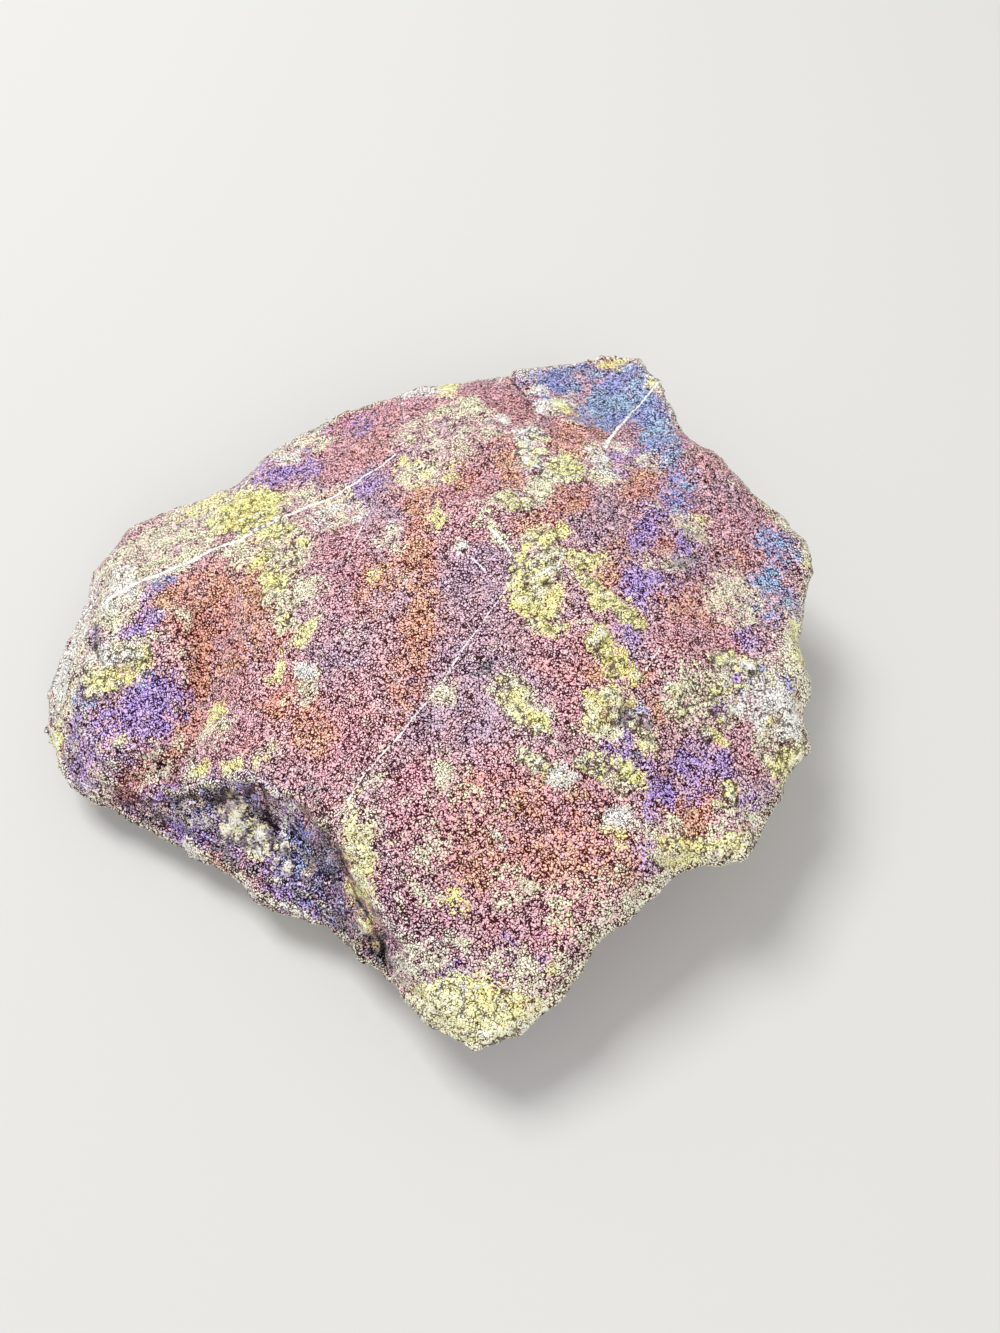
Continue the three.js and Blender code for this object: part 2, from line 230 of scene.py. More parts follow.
# Each nodule is a low dome. Two of them meet in a seam, and none sits on another.
NODULE_GAP = 0.72            # share of their two radii by which their middles are apart at least
NODULE_TRIES = 3             # places tried for each nodule of a crust
chance = np.random.default_rng(11)
nodules = []
for middle_x, middle_y, half_length, half_width, turn, count, radius, height in CRUSTS:
    angle = math.radians(turn)
    for _ in range(count * NODULE_TRIES):
        bearing = chance.uniform(0, math.tau)
        reach = math.sqrt(chance.uniform(0, 1))
        along = half_length * reach * math.cos(bearing)
        across = half_width * reach * math.sin(bearing)
        nodule_x = middle_x + along * math.cos(angle) - across * math.sin(angle)
        nodule_y = middle_y + along * math.sin(angle) + across * math.cos(angle)
        size = radius * chance.uniform(0.6, 1.2)
        if all(math.hypot(nodule_x - taken_x, nodule_y - taken_y) > NODULE_GAP * (size + taken)
               for taken_x, taken_y, taken in nodules):
            nodules.append((nodule_x, nodule_y, size))
            far = np.hypot(x - nodule_x, y - nodule_y) / size
            dome = height * chance.uniform(0.6, 1.1) * np.sqrt(np.clip(1 - far ** 2, 0, 1))
            relief = np.maximum(relief, dome * upper)
for middle_x, middle_y, radius, height in BUMPS:
    far = np.hypot(x - middle_x, y - middle_y) / radius
    relief += height * upper * np.sqrt(np.clip(1 - far ** 2, 0, 1))

beyond, run = side_of(BLUE_STEP, x, y)
lifted = eased(beyond, -0.12, 0.12) * (1 - eased(beyond, 0.3, BLUE_STEP_REACH))
lifted *= eased(run, -0.02, 0.15) * (1 - eased(run, 0.85, 1.02))
relief += BLUE_STEP_HEIGHT * lifted * upper

for line, half_width, depth in CRACKS + TROUGHS:
    off, run = side_of(line, x, y)
    open_here = eased(run, -0.01, 0.02) * (1 - eased(run, 0.98, 1.01))
    lip_end = half_width + CRACK_LIP + half_width
    relief -= depth * open_here * (1 - eased(np.abs(off), half_width, lip_end))

wavy = wander(at, 2.6, 1)
for line, reach, spacing, height, _ in BEDDING:
    off, run = side_of(line, x, y)
    phase = (np.abs(off) + BEDDING_WAVE * wavy) / spacing
    ledge = eased(phase - np.floor(phase), 0.0, 0.75) - 0.5
    ledge = height * ledge * near_bedding(off, run, reach)
    relief += ledge * eased(out[:, 2], -0.3, 0.1) * (1 - eased(out[:, 2], 0.90, 0.97))

relief *= eased(z, 0.05, CLEAR_OF_FLOOR)
at = at + out * relief[:, None]
at[:, 2] = np.maximum(at[:, 2], 0)
stone.data.vertices.foreach_set("co", (at * MM).ravel())
stone.data.update()

# ------------------------------------------------------------------------------------------------
# The tarnish: thin films of copper sulphide over the fresh break. Each colour is a set of patches
# on the broad face, kept as a number in each point: how many mm it lies inside the nearest patch.
# The undercut sides and the underside have broad, loose patches of the same colours. The dark patches
# are partly painted shade.
# ------------------------------------------------------------------------------------------------
# Patches: x, y, half length, half width in mm, turn in degrees, share of the patch that is covered
PLUM = [
    (4.4, 1.4, 3.2, 2.6, 0, 0.70), (11.8, 4.9, 3.2, 1.8, 95, 0.72), (3.6, -8.2, 4.6, 3.6, 0, 0.65),
    (-4.5, 10.7, 2.2, 1.7, 20, 0.80), (-8.3, 11.6, 1.1, 1.1, 0, 0.75), (-7.0, 9.2, 1.3, 0.5, 35, 0.8),
    (6.5, -22.0, 1.7, 1.1, -25, 0.60), (1.9, -22.0, 1.9, 1.1, -20, 0.60),
    (20.6, -12.2, 1.4, 1.0, 45, 0.8), (-3.6, 6.6, 1.8, 2.6, 0, 0.60), (9.4, 1.0, 0.9, 1.3, 0, 0.75),
    (19.4, 3.2, 2.2, 1.8, 0, 0.45), (-5.6, -3.6, 1.4, 3.4, 10, 0.55), (12.6, -4.0, 0.9, 1.2, 0, 0.7),
    (8.6, -3.9, 1.6, 0.9, 0, 0.75), (-14.4, 0.2, 1.3, 1.6, 0, 0.45), (3.0, -4.4, 2.0, 1.4, 0, 0.6),
    (24.0, -0.8, 1.1, 0.9, 0, 0.6), (21.4, 9.0, 3.2, 2.2, 90, 0.70), (-4.6, 3.2, 1.6, 3.6, 0, 0.60),
]
ROSE = [
    (-5.5, 17.6, 5.8, 3.0, 22, 0.68), (5.8, 18.2, 2.3, 2.4, 0, 0.95), (3.0, 20.9, 1.5, 1.1, 0, 0.85),
    (-5.2, 2.6, 4.4, 1.7, 96, 0.70), (2.7, 7.6, 3.6, 1.9, 95, 0.65), (6.0, -15.2, 7.6, 4.2, -12, 0.72),
    (-11.0, -6.6, 4.0, 2.8, 0, 0.60), (21.4, 7.4, 4.4, 3.4, 110, 0.35), (19.2, 14.4, 2.8, 1.2, 125, 0.6),
    (17.4, -3.4, 2.6, 2.2, 0, 0.72), (-5.0, -9.0, 2.4, 3.4, 15, 0.55), (9.0, -6.0, 1.6, 3.4, 10, 0.70),
    (-16.0, -0.9, 1.1, 1.5, 0, 0.75), (5.0, -20.2, 3.8, 1.4, -20, 0.50), (10.2, 15.4, 2.4, 2.4, 0, 0.7),
    (-1.4, 18.6, 1.6, 2.0, 0, 0.60), (-5.6, 13.6, 2.6, 1.2, 30, 0.8), (10.5, -14.8, 2.6, 2.2, 0, 0.75),
    (3.2, -18.0, 1.9, 1.2, -30, 0.8), (20.2, -9.4, 1.2, 1.0, 0, 0.4), (3.6, 11.0, 1.2, 1.6, 0, 0.6),
    (-6.2, -13.3, 2.4, 0.8, -48, 0.85),
]
COPPER = [
    (-13.2, 2.2, 5.0, 3.0, 10, 0.82), (-10.8, 0.9, 2.9, 1.1, -35, 1.00),
    (-14.7, -2.5, 2.8, 0.8, 88, 1.0), (-15.6, -7.0, 2.6, 0.8, 60, 0.95),
    (-18.4, -9.1, 1.6, 0.6, 30, 0.90), (-11.5, -1.8, 3.2, 1.4, 0, 0.6), (-8.2, -6.2, 1.7, 1.2, 60, 0.92),
    (-6.4, -8.8, 2.0, 1.3, 100, 0.75), (-0.5, 8.6, 2.1, 0.9, 82, 0.95), (-0.4, 3.2, 4.0, 1.1, 95, 0.92),
    (0.0, -1.6, 3.1, 1.0, 86, 0.97), (-0.7, -6.0, 3.4, 0.9, 80, 0.65), (5.4, 13.0, 2.1, 0.9, 95, 0.95),
    (5.9, 9.8, 1.2, 0.9, 90, 0.90), (9.6, 8.2, 2.0, 1.4, 70, 0.85), (7.4, 5.2, 1.6, 1.1, 0, 0.85),
    (10.4, 14.8, 2.3, 2.2, 0, 0.55), (11.0, 13.4, 1.1, 1.1, 0, 0.92), (15.0, 9.8, 1.8, 1.2, 42, 0.92),
    (16.0, 4.3, 0.9, 0.6, 70, 1.00), (18.0, 0.2, 2.7, 2.0, 0, 0.55), (10.7, -5.2, 1.4, 0.7, 90, 0.75),
    (13.3, -6.1, 0.7, 0.6, 0, 0.90), (14.4, -8.0, 1.0, 0.7, 0, 0.75), (15.9, -14.2, 1.6, 1.1, 15, 0.85),
    (-13.4, -13.9, 4.8, 0.7, -29, 0.82), (2.6, 10.4, 1.0, 1.6, 0, 0.5),
    (7.6, -15.4, 5.4, 2.6, -15, 0.45), (13.0, 3.4, 1.0, 1.0, 0, 0.6), (3.8, -17.6, 1.3, 0.8, -25, 0.6),
    (-4.4, 15.0, 1.2, 0.9, 0, 0.5), (-6.9, 10.3, 0.9, 0.5, 35, 0.85), (9.6, -19.2, 1.6, 0.8, 35, 0.5),
    (19.4, -14.8, 1.5, 0.6, 35, 0.7), (12.3, 0.8, 0.7, 1.2, 0, 0.7), (20.6, 3.4, 1.0, 1.8, 0, 0.5),
    (-2.6, 1.0, 1.2, 2.4, 0, 0.45),
]
VIOLET = [
    (-11.6, 13.1, 1.9, 1.1, 10, 0.92), (-8.9, 13.8, 1.0, 0.6, 80, 1.00),
    (-14.0, 13.6, 1.1, 0.5, -35, 0.8), (-18.2, 3.2, 1.4, 0.5, 68, 0.92), (-19.2, 0.3, 1.4, 1.0, 0, 0.75),
    (-21.3, 4.7, 0.7, 0.4, 80, 1.00), (-19.2, 8.2, 0.7, 0.5, 0, 0.80), (-18.0, 7.1, 0.9, 0.4, -35, 0.85),
    (-18.0, 10.2, 0.8, 0.7, 0, 0.55), (-17.6, -5.2, 2.3, 1.9, 20, 0.85),
    (-21.6, -7.0, 2.7, 2.2, 0, 0.62), (-23.2, -4.9, 1.6, 1.2, 90, 0.55), (14.8, 5.3, 1.5, 0.9, 75, 0.85),
    (17.5, 5.4, 2.0, 0.8, 86, 0.88), (14.1, 4.2, 0.9, 0.7, 0, 0.92), (16.1, 6.9, 1.6, 0.8, 10, 0.85),
    (13.9, 0.9, 1.8, 1.2, 85, 0.82), (15.6, 1.2, 1.4, 0.8, 0, 0.85), (17.3, 8.2, 1.8, 0.5, 82, 0.85),
    (14.2, 12.6, 1.5, 1.1, 0, 0.85), (13.3, 11.0, 1.0, 0.7, 0, 0.65), (20.7, -2.8, 1.1, 0.5, 85, 1.00),
    (18.6, -7.5, 0.8, 0.6, 30, 1.00), (12.0, -10.3, 1.5, 1.0, 90, 0.90), (13.6, -11.4, 0.8, 0.5, 0, 0.9),
    (14.5, -13.0, 1.1, 1.0, 30, 0.75), (14.1, -14.1, 0.8, 0.6, 80, 0.90),
    (17.2, -10.9, 1.7, 1.1, 0, 0.60), (18.8, -11.2, 0.9, 0.6, 80, 0.95),
    (16.4, -12.4, 1.5, 0.35, 8, 0.95), (14.1, -16.6, 1.1, 0.9, 0, 0.75), (12.8, -3.0, 0.8, 0.7, 0, 0.65),
    (-12.6, -12.3, 5.2, 1.5, -14, 0.97), (-8.4, -15.4, 3.8, 1.7, -52, 0.98),
    (2.4, -22.5, 0.9, 0.5, -40, 0.70), (6.4, -22.0, 1.1, 0.6, -30, 0.50),
    (20.0, -12.8, 1.0, 0.6, 45, 0.7), (-16.6, -10.9, 2.6, 0.7, -12, 0.70),
    (-9.0, 17.4, 1.0, 1.4, 0, 0.40), (-5.4, 18.4, 1.0, 1.0, 0, 0.35), (-3.9, 10.9, 1.2, 0.6, 35, 0.35),
    (-12.8, 15.2, 1.0, 0.9, 0, 0.5), (16.2, 14.2, 1.4, 1.4, 0, 0.5), (19.4, -5.8, 1.0, 1.0, 0, 0.5),
    (-8.6, -17.0, 1.6, 0.6, -30, 0.9), (-23.6, -8.2, 1.6, 0.8, -50, 0.6),
    (-22.2, 0.2, 1.3, 0.4, 75, 0.75), (-24.4, -2.6, 1.0, 0.5, 60, 0.8), (-20.2, -0.6, 1.2, 0.8, 40, 0.6),
]
BLUE = [
    (9.3, 22.9, 2.7, 1.6, 10, 0.97), (8.6, 20.4, 0.8, 0.6, 0, 0.85), (13.6, 20.6, 4.0, 2.0, 80, 1.00),
    (16.3, 19.2, 4.8, 1.5, 98, 1.00), (15.4, 23.6, 2.0, 1.6, 0, 0.97), (16.6, 15.0, 3.0, 1.5, 92, 0.85),
    (17.8, 10.6, 1.1, 0.8, 80, 0.85), (23.2, 3.4, 1.6, 0.6, 76, 1.00), (24.4, 6.3, 1.6, 1.4, 0, 0.62),
    (22.6, 1.4, 2.5, 1.8, 0, 0.45), (22.1, -5.4, 1.4, 0.9, 0, 0.85), (-18.6, -3.3, 0.6, 0.35, 10, 1.00),
    (-25.3, -1.6, 0.4, 0.4, 0, 1.00), (-25.4, -3.3, 0.4, 0.3, 0, 1.00),
    (-7.5, -14.9, 2.6, 1.2, -50, 0.92), (-5.7, -16.5, 1.9, 1.1, -60, 0.95),
    (11.4, 24.4, 2.0, 1.4, 0, 0.85), (11.6, 18.6, 1.0, 1.6, 0, 0.75), (-12.6, -11.6, 2.8, 0.6, -6, 0.75),
    (12.9, -8.4, 0.7, 0.5, 0, 0.85), (16.8, 8.6, 0.6, 1.2, 0, 0.5), (-18.2, 4.0, 0.6, 0.5, 0, 0.8),
    (-22.6, -3.0, 1.4, 1.4, 0, 0.4),
]
CREAM = [
    (-9.2, 3.4, 5.0, 1.4, 95, 0.64), (-12.0, 5.9, 2.0, 1.5, 30, 0.75), (-6.4, 8.8, 2.2, 1.8, 95, 0.45),
    (-2.3, 4.9, 1.1, 0.7, 90, 0.70), (-19.4, 6.6, 4.8, 3.0, 28, 0.80), (-21.0, 2.4, 3.0, 2.0, 80, 0.90),
    (-16.4, 11.0, 4.6, 1.8, 25, 0.80), (-9.8, 16.8, 2.2, 1.6, 35, 0.66),
    (-9.6, 10.4, 1.8, 1.4, 45, 0.75), (-20.2, -1.9, 2.8, 1.4, 0, 0.88), (1.4, 15.8, 4.0, 2.6, 10, 0.40),
    (2.6, 18.1, 1.7, 1.0, 90, 0.92), (7.3, 13.2, 3.1, 1.0, 95, 0.95), (9.5, 11.0, 1.8, 1.5, 40, 0.94),
    (6.0, 7.3, 1.3, 1.0, 0, 0.92), (7.7, 8.6, 1.5, 0.9, 70, 0.88), (12.0, 12.4, 2.0, 0.8, 105, 1.00),
    (12.4, 10.4, 1.1, 0.8, 0, 0.92), (7.4, 1.8, 3.2, 1.7, 75, 0.90), (20.2, 1.0, 2.5, 1.9, 80, 0.60),
    (18.0, 6.3, 1.1, 0.9, 40, 0.85), (16.6, 2.9, 1.0, 0.45, 25, 1.00), (14.7, 2.5, 0.8, 0.4, -10, 0.95),
    (19.0, -4.4, 1.1, 0.7, 0, 0.92), (17.2, -7.2, 2.3, 1.7, 0, 0.52), (22.7, -8.6, 2.3, 1.8, 60, 0.85),
    (21.6, -6.0, 2.9, 2.2, 0, 0.48), (24.0, -2.4, 2.5, 1.2, 85, 0.92), (1.7, -6.9, 0.8, 0.7, 0, 1.00),
    (6.1, -7.5, 1.9, 1.0, -60, 0.96), (7.2, -9.1, 1.1, 0.9, 0, 0.94), (10.9, -9.5, 1.2, 0.8, 0, 0.92),
    (11.7, -12.0, 1.6, 0.9, -20, 0.88), (6.8, -11.4, 1.0, 0.45, -35, 1.00),
    (8.6, -12.5, 0.5, 0.4, 0, 1.00), (1.8, -12.4, 1.0, 0.5, 85, 0.92), (3.2, -14.4, 1.8, 0.6, 20, 0.25),
    (0.8, -17.8, 1.5, 1.1, 80, 0.25), (5.6, -18.4, 1.1, 0.9, 0, 0.42),
    (-2.6, -13.6, 2.0, 1.1, 100, 0.36), (13.6, -18.4, 1.5, 0.6, 38, 0.50),
    (14.4, -14.9, 1.2, 0.6, 20, 0.62), (-24.4, -0.4, 5.0, 1.6, 88, 0.90),
    (3.4, -23.6, 5.4, 2.4, -10, 0.55), (0.6, 12.2, 2.6, 2.0, 20, 0.55), (4.6, 4.9, 1.1, 0.4, -55, 0.92),
    (10.0, -19.3, 1.6, 0.9, 40, 0.40), (17.4, -5.6, 1.0, 1.0, 0, 0.6), (8.7, -19.0, 1.0, 0.8, 0, 0.30),
    (-7.0, -5.8, 1.2, 0.7, 60, 0.70), (-13.6, -7.6, 2.2, 0.9, 60, 0.4), (12.2, -14.6, 1.2, 0.7, 0, 0.60),
    (-17.0, -8.4, 1.6, 0.5, 45, 0.35), (24.8, 9.0, 1.8, 0.6, 125, 0.6), (-7.4, 0.6, 0.9, 2.0, 0, 0.78),
    (15.8, 12.6, 1.1, 0.9, 0, 0.65), (19.0, -14.6, 2.4, 0.8, 40, 0.50), (20.2, -13.4, 0.9, 0.5, 40, 0.7),
    (0.6, -15.6, 1.4, 0.8, 0, 0.15),
]
YELLOW = [
    (-12.8, 9.7, 2.8, 2.3, 15, 1.00), (-16.8, 11.4, 1.9, 0.8, 25, 0.50),
    (-10.9, 6.9, 1.3, 0.6, 42, 0.92), (-11.4, 4.7, 1.5, 0.6, 80, 0.85), (-9.6, 2.2, 0.9, 0.7, 0, 0.92),
    (-9.1, -4.5, 0.8, 0.5, 30, 1.00), (-20.8, -3.1, 1.7, 0.8, 0, 0.88), (-18.6, -2.0, 0.9, 0.7, 0, 0.92),
    (-19.7, -7.3, 0.45, 0.4, 0, 1.00), (-25.2, -5.8, 1.8, 0.6, 100, 0.95),
    (-13.4, -5.7, 0.5, 0.4, 0, 0.92), (-11.5, -10.2, 0.7, 0.4, 0, 0.95),
    (-9.4, -10.2, 0.9, 0.5, 30, 1.00), (-14.0, -9.7, 0.8, 0.5, 20, 0.92),
    (-10.9, -12.9, 2.1, 1.0, -30, 1.00), (-6.8, -15.8, 0.4, 0.3, 0, 0.95),
    (-3.1, -17.0, 3.4, 0.75, 98, 0.88), (3.3, -24.9, 4.4, 2.0, -5, 0.88),
    (3.8, -26.0, 1.6, 1.0, 0, 0.95), (8.3, 4.4, 1.4, 0.5, 10, 0.72), (10.2, 2.4, 1.2, 0.8, -20, 1.00),
    (6.3, -0.9, 1.6, 0.8, 90, 0.95), (7.8, -3.0, 1.3, 0.5, 0, 1.00), (8.2, -1.3, 1.9, 0.8, 80, 0.97),
    (10.8, 0.4, 1.3, 0.8, -40, 1.00), (11.6, -0.9, 1.0, 0.8, 0, 1.00), (13.0, -1.7, 1.2, 0.6, -45, 1.00),
    (11.2, -3.9, 1.2, 0.9, 90, 1.00), (12.0, -5.7, 1.4, 0.7, -78, 1.00), (13.2, -6.1, 0.6, 0.5, 0, 1.00),
    (11.3, -8.1, 1.5, 1.1, 30, 1.00), (7.1, -9.2, 0.7, 0.5, 0, 0.92), (6.0, -7.6, 0.6, 0.5, 0, 0.92),
    (7.5, -12.0, 0.35, 0.3, 0, 0.95), (12.4, -12.1, 0.5, 0.4, 0, 1.00),
    (13.4, -9.4, 0.6, 0.4, -30, 0.95), (13.9, -10.5, 0.7, 0.4, 0, 0.95),
    (18.1, -13.0, 0.5, 0.4, 20, 1.00), (18.8, -12.2, 0.6, 0.35, 45, 1.00),
    (17.0, -15.7, 3.2, 0.6, 12, 0.62), (22.9, -9.9, 1.5, 0.7, 38, 0.95),
    (24.5, -2.0, 1.8, 0.7, 85, 0.92), (26.1, 5.9, 1.0, 0.45, 85, 0.92), (0.8, 6.3, 0.9, 0.55, 85, 0.96),
    (1.6, 11.0, 0.9, 0.45, 80, 0.85), (5.6, 6.9, 0.8, 0.6, 0, 0.92), (9.6, 19.2, 1.3, 0.8, 90, 0.85),
    (16.8, 22.8, 0.7, 0.4, 90, 1.00), (1.0, 21.9, 1.5, 0.9, 80, 0.95), (14.0, 25.6, 1.2, 0.8, 0, 0.75),
    (18.8, 7.3, 0.45, 0.35, 0, 1.00), (17.9, -6.8, 0.4, 0.35, 0, 1.00), (9.6, 11.2, 1.3, 1.1, 40, 0.70),
    (7.2, 14.6, 0.5, 0.8, 0, 0.5), (-1.4, 11.0, 1.2, 2.0, 0, 0.30), (11.8, -15.4, 0.5, 0.4, 0, 0.7),
    (8.2, -22.4, 0.4, 0.3, 0, 0.9), (-3.1, 1.8, 0.4, 0.6, 0, 0.9), (13.2, -12.3, 0.5, 0.4, 0, 0.9),
    (2.6, -19.2, 0.8, 0.4, -40, 0.5), (-7.4, -2.4, 1.3, 0.4, 60, 0.75), (18.2, -9.2, 0.4, 0.3, 0, 0.95),
]
WHITE = [
    (-7.3, -4.7, 0.7, 0.6, 0, 0.95), (-1.3, 21.3, 1.4, 0.8, 10, 0.85), (7.9, 21.2, 1.0, 0.6, -10, 0.70),
    (8.2, 19.1, 0.5, 0.9, 0, 0.60), (10.6, 20.8, 0.6, 0.8, 0, 0.50), (2.4, 3.7, 0.4, 0.35, 20, 1.00),
    (13.0, -9.1, 0.4, 0.25, -20, 1.00), (-14.7, -13.5, 0.7, 0.3, -20, 0.80),
    (-11.0, -15.8, 0.6, 0.4, -20, 1.00), (12.2, -14.4, 0.8, 0.4, 0, 0.85),
    (20.8, -14.0, 0.5, 0.4, 0, 0.80), (-20.4, -1.4, 1.5, 0.8, 0, 0.50), (-21.2, 3.4, 1.3, 2.0, 0, 0.50),
    (12.0, 12.2, 1.5, 0.5, 110, 0.50), (7.2, 13.4, 2.4, 0.7, 95, 0.40), (22.0, -7.0, 2.2, 1.4, 0, 0.55),
    (4.9, -15.6, 0.35, 0.35, 0, 1.00), (8.6, -12.5, 0.4, 0.3, 0, 0.95), (-24.6, 3.6, 3.6, 1.2, 95, 0.65),
    (-24.9, -0.6, 2.6, 1.0, 88, 0.70), (20.6, -4.6, 0.5, 0.4, 0, 0.95), (-6.2, 8.0, 1.6, 1.2, 0, 0.25),
    (5.0, 16.0, 0.5, 1.2, 0, 0.50), (-2.3, 5.0, 0.6, 0.9, 0, 0.25), (13.6, 14.0, 0.9, 0.8, 0, 0.45),
    (15.7, 12.8, 0.6, 0.6, 0, 0.5), (-10.8, 16.2, 1.0, 1.4, 0, 0.5), (-13.4, -12.1, 0.9, 0.25, -10, 0.8),
    (-8.5, -14.4, 0.6, 0.2, -80, 0.8), (-8.3, -13.0, 0.5, 0.2, 0, 0.6),
    (-7.7, -18.1, 0.6, 0.3, -20, 0.9), (3.2, -24.8, 3.4, 1.4, -5, 0.12),
    (-11.2, -12.9, 1.5, 0.6, -28, 0.60),
]
# Dark patches are partly painted shade: in the pits, the notch at the near tip, and the hollow below its
# lip
DARK = [
    (4.2, -5.4, 0.35, 0.3, 0, 1.00), (12.7, -8.5, 0.6, 0.35, -20, 1.00), (13.5, -8.9, 0.4, 0.3, 0, 1.00),
    (-2.6, -20.9, 1.6, 0.6, -60, 1.00), (-9.4, -12.2, 0.9, 0.22, 80, 0.85),
    (-3.9, -17.2, 2.4, 0.20, -60, 0.6), (-14.6, -11.1, 3.6, 0.22, -6, 0.65),
    (-2.2, -20.9, 1.2, 0.6, -60, 0.95), (-6.6, -17.2, 1.6, 0.3, -35, 0.6),
    (-5.4, -18.6, 2.0, 0.4, -40, 0.7), (-22.4, 0.2, 1.1, 0.5, -50, 0.60),
    (-9.9, -13.9, 1.4, 0.2, -50, 0.6), (13.2, -10.2, 0.5, 0.2, 60, 0.80),
    (7.7, -10.2, 0.6, 0.3, 0, 0.70), (-3.4, -20.2, 1.6, 0.6, -50, 0.7), (17.7, 5.0, 0.3, 1.0, 0, 0.60),
    (17.2, 3.1, 0.6, 0.25, 30, 0.70), (-9.6, -15.2, 4.6, 1.3, -38, 0.40),
    (-13.6, -12.7, 3.4, 0.8, -22, 0.22), (-6.2, -16.4, 2.6, 1.2, -52, 0.50),
    (-18.6, -10.9, 2.2, 0.4, -15, 0.6),
]
# How much of the undercut and the underside each colour covers, and the size of its patches in mm
UNDER = {"plum": (0.45, 9), "rose": (0.35, 9), "copper": (0.28, 8), "violet": (0.14, 7),
         "blue": (0.09, 7), "cream": (0.20, 7), "yellow": (0.08, 5), "white": (0.03, 4),
         "dark": (0.04, 5)}
UNDER_SPREAD = 0.28          # how far the lumps that make these patches stray from their middle value
PATCHES = {"plum": PLUM, "rose": ROSE, "copper": COPPER, "violet": VIOLET, "blue": BLUE,
           "cream": CREAM, "yellow": YELLOW, "white": WHITE, "dark": DARK}
RAGGED = 0.34                # mm, how far the patches' edges wander to each side
PATCH_LIMIT = 2.0            # mm, as far inside or outside a patch as is told apart

at = places()
out = outward()
x, y, z = at.T
face = eased(out[:, 2], -0.35, -0.05)
on_face = face > 0.3


def mm_inside(middle_x, middle_y, half_length, half_width, turn, x, y):
    """About how many mm each point lies inside an ellipse, below zero outside it."""
    angle = math.radians(turn)
    along = (x - middle_x) * math.cos(angle) + (y - middle_y) * math.sin(angle)
    across = (y - middle_y) * math.cos(angle) - (x - middle_x) * math.sin(angle)
    spread = np.hypot(along / half_length, across / half_width)
    steepness = np.hypot(along / half_length ** 2, across / half_width ** 2)
    outside = spread / np.maximum(steepness, 1e-9)
    return (1 - spread) * np.where(spread > 1, outside, min(half_length, half_width))


def keep(name, values):
    """Keeps one number in each point of the stone."""
    attribute = stone.data.attributes.new(name, "FLOAT", "POINT")
    attribute.data.foreach_set("value", values.astype(np.float32))


for number, (name, rows) in enumerate(PATCHES.items()):
    inside = np.full(len(at), -PATCH_LIMIT)
    for middle_x, middle_y, half_length, half_width, turn, share in rows:
        depth = mm_inside(middle_x, middle_y, half_length, half_width, turn, x, y)
        if share < 1:
            depth = np.minimum(depth, RAGGED * NormalDist().inv_cdf(share))
        inside = np.maximum(inside, depth)
    share, size = UNDER[name]
    lumps = wander(at, size, 20 + number) + 0.3 * wander(at, size / 2.2, 40 + number)
    under = (lumps - UNDER_SPREAD * NormalDist().inv_cdf(1 - share)) * 0.5 * size
    inside = np.clip(inside, -PATCH_LIMIT, PATCH_LIMIT)
    under = np.clip(under, -PATCH_LIMIT, PATCH_LIMIT)
    keep(name, inside * face + under * (1 - face))

# Thin white veins and scratches: their points, half width at the start and at the end in mm
VEINS = [
    ([(-21.4, 2.4), (-20.2, 3.4), (-18.6, 4.4), (-17.2, 4.9), (-15.4, 5.9), (-13.2, 6.5), (-11.2, 7.7),
      (-9.4, 8.8), (-8.2, 9.7), (-6.6, 10.3), (-5.2, 11.2), (-3.8, 12.4), (-2.4, 13.6)], 0.15, 0.05),
    ([(17.4, 23.2), (15.9, 20.7), (14.6, 18.6), (13.5, 16.4), (12.9, 15.2), (12.5, 13.8)], 0.03, 0.15),
    ([(5.8, 0.6), (3.2, -3.5), (1.4, -6.3), (-0.9, -9.9), (-3.1, -12.4), (-3.7, -13.6)], 0.03, 0.03),
    ([(-3.7, -13.6), (-4.3, -14.6), (-4.3, -15.8)], 0.03, 0.01),
    ([(4.3, 5.0), (5.0, 4.1), (5.6, 3.2), (5.9, 2.4)], 0.10, 0.03),
    ([(3.2, 2.7), (4.1, 1.6)], 0.03, 0.03),
    ([(9.2, 3.2), (8.7, 1.6), (7.6, 0.9)], 0.06, 0.08),
    ([(13.8, -5.8), (15.0, -3.9)], 0.03, 0.03),
    ([(-13.4, 8.4), (-11.6, 9.3), (-10.4, 9.9)], 0.05, 0.04),
    ([(-5.2, 3.4), (-4.4, 6.0), (-3.9, 8.2)], 0.01, 0.01),
]
NEAR_LINE = 1.2              # mm, as far from a line as its distance is kept
END_TAPER = 3                # how fast a line's width shrinks away past its ends


def nearest_of(lines):
    """Distance in mm from the nearest of these lines, above zero on its left, and its half width."""
    off = np.full(len(at), PATCH_LIMIT)
    wide = np.full(len(at), -PATCH_LIMIT)
    for line, start_width, end_width in lines:
        signed, run = side_of(line, x, y)
        past_end = np.maximum(np.maximum(-run, run - 1), 0)
        width = start_width + (end_width - start_width) * np.clip(run, 0, 1) - END_TAPER * past_end
        nearer = np.abs(signed) < np.minimum(np.abs(off), NEAR_LINE)
        off = np.where(nearer, signed, off)
        wide = np.where(nearer & on_face, width, wide)
    return off, wide


for name, lines in [("vein", VEINS), ("crack", CRACKS), ("trough", TROUGHS)]:
    if name != "vein":
        lines = [(line, half_width, half_width) for line, half_width, _ in lines]
    off, wide = nearest_of(lines)
    keep(name + "_off", off)
    keep(name + "_wide", wide)

# How many mm inside its own nodule a point is, up to the seam with the next one
own = np.full(len(at), -PATCH_LIMIT)
next_best = np.full(len(at), -PATCH_LIMIT)
for nodule_x, nodule_y, size in nodules:
    depth = size - np.hypot(x - nodule_x, y - nodule_y)
    next_best = np.maximum(next_best, np.minimum(depth, own))
    own = np.maximum(own, depth)
keep("nodule", np.where(on_face, np.minimum(own, own - next_best), -PATCH_LIMIT))

